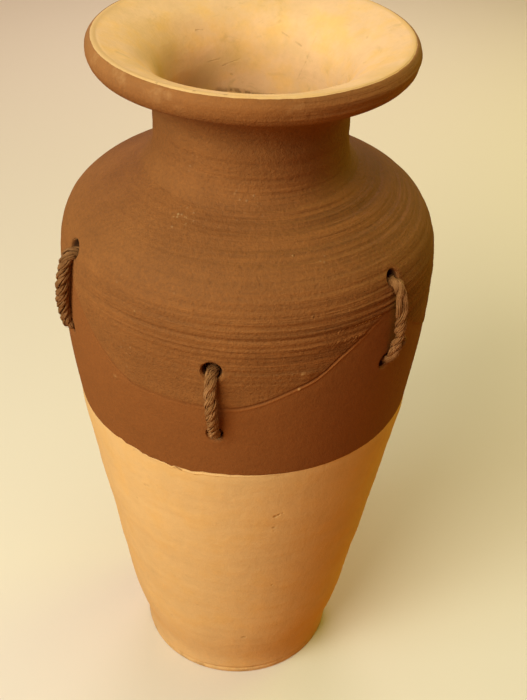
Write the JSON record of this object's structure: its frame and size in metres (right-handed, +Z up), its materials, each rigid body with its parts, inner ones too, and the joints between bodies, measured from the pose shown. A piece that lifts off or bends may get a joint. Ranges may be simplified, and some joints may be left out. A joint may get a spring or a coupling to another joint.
{
  "type": "terracotta jar",
  "caption": "Tall clay jar with a wide flared lip and short neck, brown slip over its upper part, and rope stitches through holes round the belly.",
  "frame": {"origin": "middle of the flat base, on the surface that the jar stands on", "axes": "+Z up along the jar's axis, -Y towards the side that the picture shows"},
  "size_m": [0.2236, 0.2369, 0.45],
  "materials": {
    "cream_clay": "matt cream clay, brushed and smudged",
    "brown_slip": "matt brown slip with fine throwing lines",
    "jute_rope": "twisted three-strand jute rope, brown"
  },
  "bodies": {
    "root": {"jar_body": "cream_clay", "slip_coat": "brown_slip", "rope_stitch_1": "jute_rope", "rope_stitch_2": "jute_rope", "rope_stitch_3": "jute_rope", "rope_stitch_4": "jute_rope", "rope_stitch_5": "jute_rope", "rope_stitch_6": "jute_rope"}
  },
  "joints": []
}
